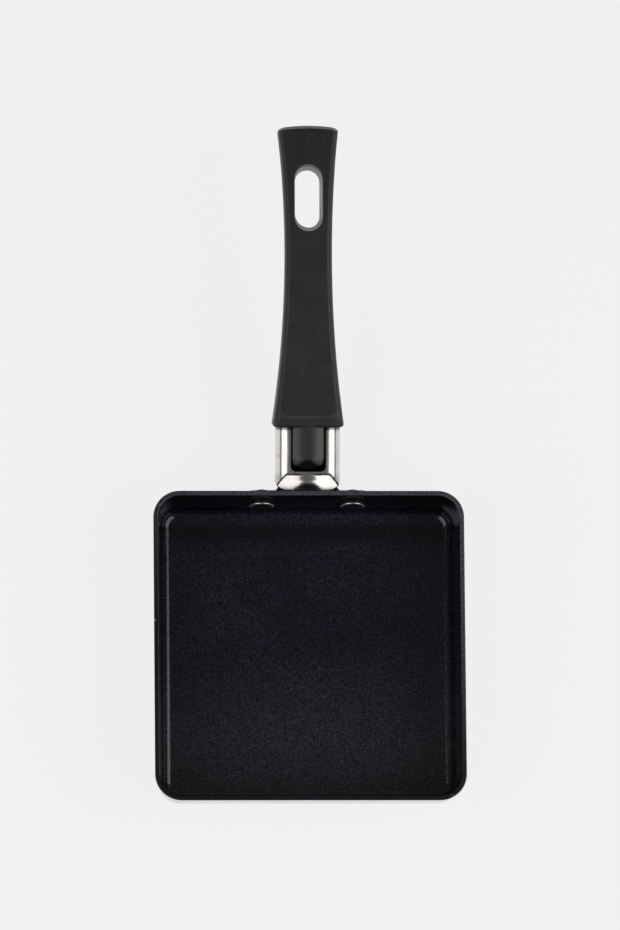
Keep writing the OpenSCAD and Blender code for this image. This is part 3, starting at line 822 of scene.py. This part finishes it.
def make_guard():
    """Steel sleeve with its pressed front and the notch for the tongue."""
    shell = Shell()
    press_end = PRESS_END + PRESS_CLEAR
    stations = [GUARD_START + GUARD_FRONT_R * (1 - math.cos(a))
                for a in spread(0, math.pi / 2, GUARD_FRONT_STEPS)]
    stations += spread(stations[-1], press_end, PRESS_STEPS)[1:]
    stations += spread(press_end, BASE_AT, SLEEVE_STEPS)[1:]
    shell.skin([shell.row(neck_point(x, s, w) for x, w in guard_section(s)) for s in stations],
               closed=True)
    guard = shell.make("guard_sleeve")
    sheet = guard.modifiers.new("sheet", "SOLIDIFY")
    sheet.thickness = GUARD_T
    sheet.offset = -1
    cutter = notch_cutter()
    notch = guard.modifiers.new("notch", "BOOLEAN")
    notch.solver = "MANIFOLD"
    notch.object = cutter
    apply_modifiers(guard)
    bpy.data.objects.remove(cutter)
    shade(guard, SHARP_DEG)
    return guard


class Finish:
    """A material, with short calls that add nodes to it."""

    def __init__(self, name):
        self.material = bpy.data.materials.new(name)
        self.material.use_nodes = True
        self.tree = self.material.node_tree
        self.shader = self.tree.nodes["Principled BSDF"]
        self.place = self.node("ShaderNodeTexCoord").outputs["Object"]

    def node(self, kind):
        """A new node in the material."""
        return self.tree.nodes.new(kind)

    def feed(self, socket, value):
        """Links another node's output, or sets a number or a colour."""
        if isinstance(value, bpy.types.NodeSocket):
            self.tree.links.new(value, socket)
        elif isinstance(value, tuple) and len(value) < len(socket.default_value):
            socket.default_value = (*value, 1)
        else:
            socket.default_value = value

    def set(self, name, value):
        """Sets or links one of the shader's own sockets."""
        self.feed(self.shader.inputs[name], value)

    def axes(self, vector):
        """The three parts of a vector."""
        node = self.node("ShaderNodeSeparateXYZ")
        self.feed(node.inputs[0], vector)
        return tuple(node.outputs)

    def neck_place(self):
        """The place turned so that Y runs along the neck and Z stands square to it."""
        node = self.node("ShaderNodeVectorRotate")
        node.rotation_type = "X_AXIS"
        node.inputs["Center"].default_value = (0, AXIS_Y, AXIS_Z)
        node.inputs["Angle"].default_value = -RISE
        self.feed(node.inputs["Vector"], self.place)
        return node.outputs[0]

    def stretched(self, vector, scale):
        """A vector with its own scale along each axis."""
        node = self.node("ShaderNodeVectorMath")
        node.operation = "MULTIPLY"
        self.feed(node.inputs[0], vector)
        node.inputs[1].default_value = scale
        return node.outputs[0]

    def noise(self, scale, detail=3, vector=None):
        """Soft noise, its scale in features a metre."""
        node = self.node("ShaderNodeTexNoise")
        node.inputs["Scale"].default_value = scale
        node.inputs["Detail"].default_value = detail
        self.feed(node.inputs["Vector"], vector or self.place)
        return node.outputs["Fac"]

    def cells(self, scale):
        """A random value from 0 to 1 for each small cell, its scale in cells a metre."""
        node = self.node("ShaderNodeTexVoronoi")
        node.inputs["Scale"].default_value = scale
        self.feed(node.inputs["Vector"], self.place)
        return self.axes(node.outputs["Color"])[0]

    def math(self, operation, a, b=0.0):
        """A number worked out from one or two others."""
        node = self.node("ShaderNodeMath")
        node.operation = operation
        self.feed(node.inputs[0], a)
        self.feed(node.inputs[1], b)
        return node.outputs[0]

    def plus(self, a, b):
        """The sum of two numbers."""
        return self.math("ADD", a, b)

    def minus(self, a, b):
        """The first number less the second."""
        return self.math("SUBTRACT", a, b)

    def times(self, a, b):
        """The product of two numbers."""
        return self.math("MULTIPLY", a, b)

    def past(self, a, b):
        """How far a lies past b, 0 before it."""
        return self.math("MAXIMUM", self.minus(a, b), 0)

    def length(self, a, b):
        """The length of a vector with parts a and b."""
        return self.math("SQRT", self.plus(self.times(a, a), self.times(b, b)))

    def patches(self, scale, levels=(0, 1), fade=PATCH_FADE, detail=3):
        """Soft noise as patches of two levels, which change where it crosses the fade."""
        return self.step(self.noise(scale, detail), *fade, *levels)

    def step(self, value, start, end, low=0.0, high=1.0):
        """A smooth change from low to high while the value goes from start to end."""
        node = self.node("ShaderNodeMapRange")
        node.interpolation_type = "SMOOTHSTEP"
        self.feed(node.inputs["Value"], value)
        node.inputs["From Min"].default_value = start
        node.inputs["From Max"].default_value = end
        node.inputs["To Min"].default_value = low
        node.inputs["To Max"].default_value = high
        return node.outputs[0]

    def mixed(self, node, sockets, share, a, b):
        """Feeds a mix node and returns its output."""
        first, second, result = sockets
        self.feed(node.inputs[0], share)
        self.feed(node.inputs[first], a)
        self.feed(node.inputs[second], b)
        return node.outputs[result]

    def blend(self, share, a, b):
        """Goes from colour a to colour b."""
        node = self.node("ShaderNodeMix")
        node.data_type = "RGBA"
        return self.mixed(node, MIX_COLOURS, share, a, b)

    def between(self, share, a, b):
        """Goes from number a to number b."""
        return self.mixed(self.node("ShaderNodeMix"), MIX_NUMBERS, share, a, b)

    def bump(self, height, distance, socket="Normal"):
        """Relief of a height of 0 to 1 times the distance."""
        node = self.node("ShaderNodeBump")
        node.inputs["Distance"].default_value = distance
        self.feed(node.inputs["Height"], height)
        self.set(socket, node.outputs[0])


def floor_grain(f, y):
    """The floor's pale and dark grains, bluer at the rear and paler towards the front as painted
    light, with a smooth dark band there that is a painted reflection of the rear wall.
    """
    # Painted light: paler and greyer towards the front
    front = f.step(y, *FRONT_LIGHT_FADE)
    blue = f.blend(f.patches(scale=22, detail=4), COAT_BLUE, COAT_PATCH)
    pale = f.blend(front, blue, COAT_FRONT_LIT)
    # Painted reflection: a dark band on the floor near the rear wall
    band = f.times(f.step(y, *REFLECTION_BAND_FRONT), f.step(y, *REFLECTION_BAND_REAR))
    pale = f.blend(f.times(band, COAT_REFLECTION_BAND_SHARE), pale, COAT_REFLECTION_BAND)
    dark = f.blend(front, COAT_DARK, COAT_DARK_FRONT_LIT)
    grain = f.times(*(f.cells(scale) for scale in COAT_GRAINS))
    base = f.blend(f.step(grain, *COAT_GRAIN_FADE), dark, pale)
    flecks = f.step(f.cells(COAT_FLECKS), *COAT_FLECK_FADE)
    return f.blend(f.times(flecks, COAT_FLECK_SHARE), base, COAT_FLECK)


def rim_wear_and_light(f, x, y, z, base):
    """The base with a rim that is rubbed pale and has a few chips; painted light makes the rim
    paler towards the right rear.
    """
    rim = f.step(z, *RIM_FADE)
    # Rubbed finish with painted light: the rim paler towards the right rear
    rubbed = f.step(f.plus(x, f.times(y, RIM_LIGHT_SLANT)), *RIM_LIGHT_FADE, RIM_LIGHT_LEAST, 1)
    rubbed = f.times(rubbed, f.patches(scale=800, levels=(0.4, 1), fade=(0.3, 0.65)))
    base = f.blend(rim, base, f.blend(rubbed, RIM_DARK, RIM_RUBBED_AND_LIT))
    chips = f.times(rim, f.patches(scale=230, fade=(0.7, 0.74), detail=2))
    return f.blend(chips, base, RIM_CHIP)


def nonstick_coat():
    """Glossy blue-black non-stick coating with a dense fine grain on the floor; its walls are
    painted darker as shade.
    """
    f = Finish("nonstick_coat")
    x, y, z = f.axes(f.place)
    # Painted shade: the walls darker than the floor
    base = f.blend(f.step(z, *COVE_FADE), floor_grain(f, y), COAT_WALL_SHADE)
    f.set("Base Color", rim_wear_and_light(f, x, y, z, base))
    f.set("Roughness", f.patches(scale=60, levels=COAT_ROUGH, detail=4))
    f.set("Specular IOR Level", COAT_SPECULAR)
    f.set("Specular Tint", COAT_SHEEN)
    f.set("Coat Weight", CLEAR_COAT)
    f.set("Coat Roughness", CLEAR_COAT_ROUGH)
    f.bump(f.noise(scale=1500), COAT_RELIEF)
    f.bump(f.noise(scale=1300, detail=2), CLEAR_COAT_RELIEF, socket="Coat Normal")
    return f.material


def worn_edge(f):
    """1 on the rounded edge of a rivet's head, measured square to its lean axis."""
    x, y, z = f.axes(f.place)
    across = f.minus(f.math("ABSOLUTE", x), RIVET_X)
    back = f.minus(y, AXIS_Y)
    rise = f.minus(z, AXIS_Z)
    up = f.plus(f.times(rise, math.cos(WALL_DRAFT)), f.times(back, math.sin(WALL_DRAFT)))
    out = f.minus(f.times(rise, math.sin(WALL_DRAFT)), f.times(back, math.cos(WALL_DRAFT)))
    return f.times(f.step(f.length(across, up), *WORN_FADE), f.step(out, *WORN_RISE))


def rivet_coat():
    """Dark coated rivet, its thin edge rubbed to bright metal."""
    f = Finish("rivet_coat")
    worn = f.times(worn_edge(f), f.patches(scale=500, levels=(0.5, 1), fade=(0.3, 0.45)))
    grain = f.noise(scale=1100)
    f.set("Base Color", f.blend(worn, f.blend(grain, RIVET_DARK, RIVET_PALE), RIVET_WORN))
    f.set("Metallic", worn)
    f.set("Roughness", f.between(worn, RIVET_ROUGH, RIVET_WORN_ROUGH))
    f.set("Specular IOR Level", RIVET_SPECULAR)
    f.bump(grain, RIVET_RELIEF)
    return f.material


def bracket_coat():
    """Satin black coating on the pressed bracket."""
    f = Finish("bracket_coat")
    f.set("Base Color", f.blend(f.noise(scale=300), BRACKET_DARK, BRACKET_PALE))
    f.set("Roughness", f.patches(scale=90, levels=BRACKET_ROUGH))
    f.bump(f.noise(scale=1400, detail=2), BRACKET_RELIEF)
    return f.material


def polished_steel():
    """Stainless sheet, polished lengthwise, with a faint brown bloom, smudges and painted shade
    next to the grip.
    """
    f = Finish("polished_steel")
    neck = f.neck_place()
    along = f.axes(neck)[1]
    sleeve = f.step(along, *SLEEVE_FADE, STEEL_PRESSED_LEAST, 1)
    streaks = f.noise(scale=1, detail=4, vector=f.stretched(neck, STEEL_STREAKS))
    streak = f.times(f.step(streaks, *STEEL_STREAK_FADE), sleeve)
    bloom = f.patches(scale=90, levels=(0, 0.5), fade=(0.4, 0.75))
    smudge = f.patches(scale=420, levels=(0, 0.4), fade=(0.5, 0.72), detail=4)
    base = f.blend(bloom, STEEL, STEEL_BLOOM)
    base = f.blend(f.times(streak, STEEL_STREAK_SHARE), base, STEEL_STREAK)
    base = f.blend(smudge, base, STEEL_SMUDGE)
    base = f.blend(f.minus(1, sleeve), base, STEEL_PRESSED)
    # Painted shade where the guard runs under the grip
    base = f.blend(f.times(f.step(along, *JOINT_SHADE_FADE), STEEL_JOINT_SHADE_SHARE), base, STEEL_JOINT_SHADE)
    f.set("Base Color", base)
    f.set("Metallic", 1.0)
    f.set("Roughness", f.between(sleeve, STEEL_PRESSED_ROUGH, f.between(streak, *STEEL_ROUGH)))
    f.bump(streaks, STEEL_RELIEF)
    return f.material


def slot_mask(f, x, along):
    """1 on the hang hole's wall, 0 on the faces around it."""
    from_middle = f.math("ABSOLUTE", f.minus(along, BASE_Y + HANG_AT - SLOT_BACK))
    return f.step(f.length(x, f.past(from_middle, HANG_REACH)), *SLOT_FADE)


def crease_highlight_mask(f, x, along):
    """1 on the U-shaped crease between the lip and the top panel, where a highlight is painted."""
    from_base = f.minus(along, BASE_Y)
    corner_x = f.minus(GRIP_WIDTHS[0] / 2 - BEVEL_W - PANEL_CORNER_R,
                       f.times(from_base, CREASE_NARROWS))
    across = f.past(f.math("ABSOLUTE", x), corner_x)
    before = f.past(LIP_L + PANEL_CORNER_R, from_base)
    outside = f.minus(f.length(across, before), PANEL_CORNER_R)
    line = f.times(f.step(outside, *CREASE_INNER), f.step(outside, *CREASE_OUTER))
    return f.times(line, f.step(from_base, LIP_L + PANEL_CORNER_R, LIP_L))


def phenolic():
    """Matte moulded phenolic with a fine grain and a glossy nose, with painted highlights, shade
    and reflection.
    """
    f = Finish("phenolic")
    x, along = f.axes(f.neck_place())[:2]
    y = f.axes(f.place)[1]
    tongue_part = f.step(along, *TONGUE_FADE)
    nose = f.step(along, *NOSE_FADE)
    # Painted highlight along the grip's end
    end = f.step(f.plus(y, f.times(f.times(x, x), END_BOW)), *END_HIGHLIGHT_FADE)
    specks = f.patches(scale=1300, levels=(0, 0.6), fade=(0.45, 0.75))
    base = f.blend(f.noise(scale=70, detail=4), GRIP_DARK, GRIP_PALE)
    base = f.blend(specks, base, GRIP_SPECK)
    # Painted highlight on the U-shaped crease
    base = f.blend(f.times(crease_highlight_mask(f, x, along), GRIP_CREASE_HIGHLIGHT_SHARE), base, GRIP_CREASE_HIGHLIGHT)
    # Painted shade on the lip
    base = f.blend(f.times(f.step(along, *LIP_SHADE_FADE), GRIP_LIP_SHADE_SHARE), base, GRIP_LIP_SHADE)
    # Painted sheen: the tongue paler than the grip
    base = f.blend(tongue_part, base, GRIP_TONGUE_SHEEN)
    # Painted shade on the nose
    base = f.blend(nose, base, GRIP_NOSE_SHADE)
    # Painted reflection: the hole's wall pale
    base = f.blend(slot_mask(f, x, along), base, SLOT_WALL_REFLECTION)
    base = f.blend(end, base, GRIP_END_HIGHLIGHT)
    f.set("Base Color", base)
    matte = f.between(tongue_part, f.patches(scale=120, levels=GRIP_ROUGH), TONGUE_ROUGH)
    f.set("Roughness", f.between(nose, matte, NOSE_ROUGH))
    f.set("Specular IOR Level", f.between(nose, GRIP_SPECULAR, NOSE_SPECULAR))
    f.bump(f.noise(scale=2300, detail=2), GRIP_RELIEF)
    return f.material


def zinc_steel(name, color):
    """Plated fastener steel, faintly mottled."""
    f = Finish(name)
    mark = f.noise(scale=900)
    dark = tuple(ZINC_SHADE * c for c in color)
    f.set("Base Color", f.blend(mark, dark, color))
    f.set("Metallic", 1.0)
    f.set("Roughness", f.step(mark, *PATCH_FADE, *ZINC_ROUGH))
    f.bump(mark, ZINC_RELIEF)
    return f.material


def make_camera():
    """A long lens nearly overhead, so that the pan shows its rear wall and hardly tapers."""
    data = bpy.data.cameras.new("photo_camera")
    camera = bpy.data.objects.new("photo_camera", data)
    bpy.context.scene.collection.objects.link(camera)
    tilt = math.radians(CAMERA_TILT)
    left = math.radians(CAMERA_LEFT)
    roll = math.radians(CAMERA_ROLL)
    back = Vector((-math.sin(left), -math.sin(tilt), 0))
    back.z = math.sqrt(1 - back.length_squared)
    across = Vector((math.sin(roll), math.cos(roll), 0)).cross(back).normalized()
    turn = Matrix((across, back.cross(across), back)).transposed()
    camera.matrix_world = Matrix.Translation(AIM + back * CAMERA_DISTANCE) @ turn.to_4x4()
    data.sensor_width = SENSOR
    data.lens = SENSOR * CAMERA_DISTANCE * PIXELS_PER_METRE / IMAGE_H
    bpy.context.scene.camera = camera


def softbox(name, azimuth, width, radiance):
    """An oblong lamp that faces the object; its power follows from the radiance wanted."""
    data = bpy.data.lights.new(name, "AREA")
    data.shape = "RECTANGLE"
    data.size = width
    data.size_y = LAMP_HEIGHT
    data.energy = radiance * math.pi * width * LAMP_HEIGHT
    lamp = bpy.data.objects.new(name, data)
    bpy.context.scene.collection.objects.link(lamp)
    a = math.radians(azimuth)
    e = math.radians(LAMP_ELEVATION)
    back = Vector((math.cos(e) * math.sin(a), math.cos(e) * math.cos(a), math.sin(e)))
    lamp.location = AIM + back * LAMP_DISTANCE
    lamp.rotation_mode = "QUATERNION"
    lamp.rotation_quaternion = back.to_track_quat("Z", "Y")


def make_lights():
    """A dim white world and a wide softbox to each side of the pan."""
    world = bpy.data.worlds.new("studio")
    bpy.context.scene.world = world
    world.use_nodes = True
    background = world.node_tree.nodes["Background"]
    background.inputs["Color"].default_value = (1, 1, 1, 1)
    background.inputs["Strength"].default_value = WORLD_STRENGTH
    for name, settings in SOFTBOXES.items():
        softbox(name, **settings)


def floor_paper():
    """Pale paper that the camera sees at its own brightness, with part of the shadow."""
    m = bpy.data.materials.new("floor_paper")
    m.use_nodes = True
    nodes = m.node_tree.nodes
    links = m.node_tree.links
    nodes.clear()
    diffuse = nodes.new("ShaderNodeBsdfDiffuse")
    diffuse.inputs["Color"].default_value = (PAPER_GREY, PAPER_GREY, PAPER_GREY, 1)
    glow = nodes.new("ShaderNodeEmission")
    glow.inputs["Color"].default_value = (PAPER_GLOW, PAPER_GLOW, PAPER_GLOW, 1)
    seen = nodes.new("ShaderNodeMixShader")
    seen.inputs[0].default_value = PAPER_GLOW_SHARE
    links.new(diffuse.outputs[0], seen.inputs[1])
    links.new(glow.outputs[0], seen.inputs[2])
    path = nodes.new("ShaderNodeLightPath")
    direct = nodes.new("ShaderNodeMath")
    direct.operation = "MAXIMUM"
    links.new(path.outputs["Is Camera Ray"], direct.inputs[0])
    links.new(path.outputs["Is Glossy Ray"], direct.inputs[1])
    mix = nodes.new("ShaderNodeMixShader")
    links.new(direct.outputs[0], mix.inputs[0])
    links.new(diffuse.outputs[0], mix.inputs[1])
    links.new(seen.outputs[0], mix.inputs[2])
    out = nodes.new("ShaderNodeOutputMaterial")
    links.new(mix.outputs[0], out.inputs[0])
    return m


def make_floor():
    """A wide floor that is no part of the object."""
    bpy.ops.mesh.primitive_plane_add(size=FLOOR_SIZE)
    floor = bpy.context.object
    floor.name = "studio_floor"
    floor.location.z = -FLOOR_DROP
    floor.data.materials.append(floor_paper())


def dress(piece, material, node):
    """Gives a piece its material, and puts it in the place of a node."""
    piece.data.materials.clear()
    piece.data.materials.append(material)
    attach(piece, "root")
    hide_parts(node)


make_camera()
make_lights()
make_floor()

dress(make_grip(), phenolic(), "handle_grip")
dress(make_guard(), polished_steel(), "flame_guard")

rivet = rivet_coat()
dress(make_rivet(-1), rivet, "rivet_left")
dress(make_rivet(1), rivet, "rivet_right")

cad_materials = {
    "pan_body": nonstick_coat(),
    "handle_bracket": bracket_coat(),
    "handle_screw": zinc_steel("zinc_steel", ZINC),
    "spring_washer": zinc_steel("spring_steel", SPRING_STEEL),
    "flat_washer": zinc_steel("washer_zinc", WASHER_ZINC),
}
for name, material in cad_materials.items():
    frame["nodes"][name].material_slots[0].material = material
